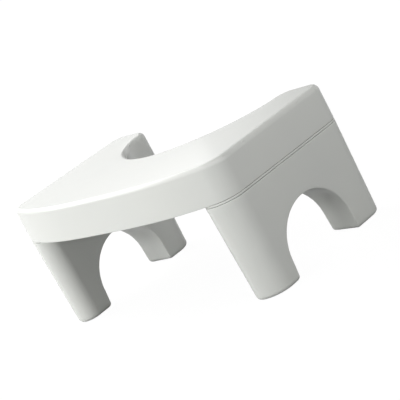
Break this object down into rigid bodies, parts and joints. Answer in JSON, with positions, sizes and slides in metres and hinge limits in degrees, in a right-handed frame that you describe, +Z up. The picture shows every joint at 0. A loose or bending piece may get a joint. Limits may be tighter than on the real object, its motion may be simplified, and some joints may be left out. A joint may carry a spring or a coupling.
{
  "type": "toilet footstool",
  "caption": "Folding toilet footstool: flat cover with a bowed front and a deep notch for the toilet's foot, on arched legs that fold inwards.",
  "frame": {"origin": "on the floor, under the middle of the stool's width and depth", "axes": "+Z up, +X towards the right end as seen from the front, +Y towards the toilet, into the notch's open side"},
  "size_m": [0.42, 0.244, 0.178],
  "materials": {
    "cover_plastic": "high-gloss moulded white",
    "leg_plastic": "high-gloss moulded white",
    "cap_plastic": "gloss moulded white",
    "panel_plastic": "satin moulded white with ribs",
    "pad_rubber": "soft matt grey",
    "pin_steel": "drawn steel",
    "screw_steel": "zinc-plated steel"
  },
  "bodies": {
    "stool": {"top_cover": "cover_plastic", "base_panel": "panel_plastic", "panel_screw_1": "screw_steel", "panel_screw_2": "screw_steel", "panel_screw_3": "screw_steel", "panel_screw_4": "screw_steel", "panel_screw_5": "screw_steel", "panel_screw_6": "screw_steel", "panel_screw_7": "screw_steel", "panel_screw_8": "screw_steel", "right_front_hinge_pin": "pin_steel", "right_rear_hinge_pin": "pin_steel", "left_front_hinge_pin": "pin_steel", "left_rear_hinge_pin": "pin_steel"},
    "right_leg": {"right_leg_shell": "leg_plastic", "right_leg_cap": "cap_plastic", "right_cap_screw_1": "screw_steel", "right_cap_screw_2": "screw_steel", "right_cap_screw_3": "screw_steel", "right_cap_screw_4": "screw_steel", "right_front_foot_pad": "pad_rubber", "right_rear_foot_pad": "pad_rubber"},
    "left_leg": {"left_leg_shell": "leg_plastic", "left_leg_cap": "cap_plastic", "left_cap_screw_1": "screw_steel", "left_cap_screw_2": "screw_steel", "left_cap_screw_3": "screw_steel", "left_cap_screw_4": "screw_steel", "left_front_foot_pad": "pad_rubber", "left_rear_foot_pad": "pad_rubber"}
  },
  "joints": [
    {"name": "right_leg_fold", "type": "hinge", "parent": "stool", "child": "right_leg", "pos_m": [0.1537, 0.0087, 0.1238], "axis": [0, 1, 0], "range_deg": [0, 90]},
    {"name": "left_leg_fold", "type": "hinge", "parent": "stool", "child": "left_leg", "pos_m": [-0.1537, 0.0087, 0.1238], "axis": [0, -1, 0], "range_deg": [0, 90]}
  ]
}
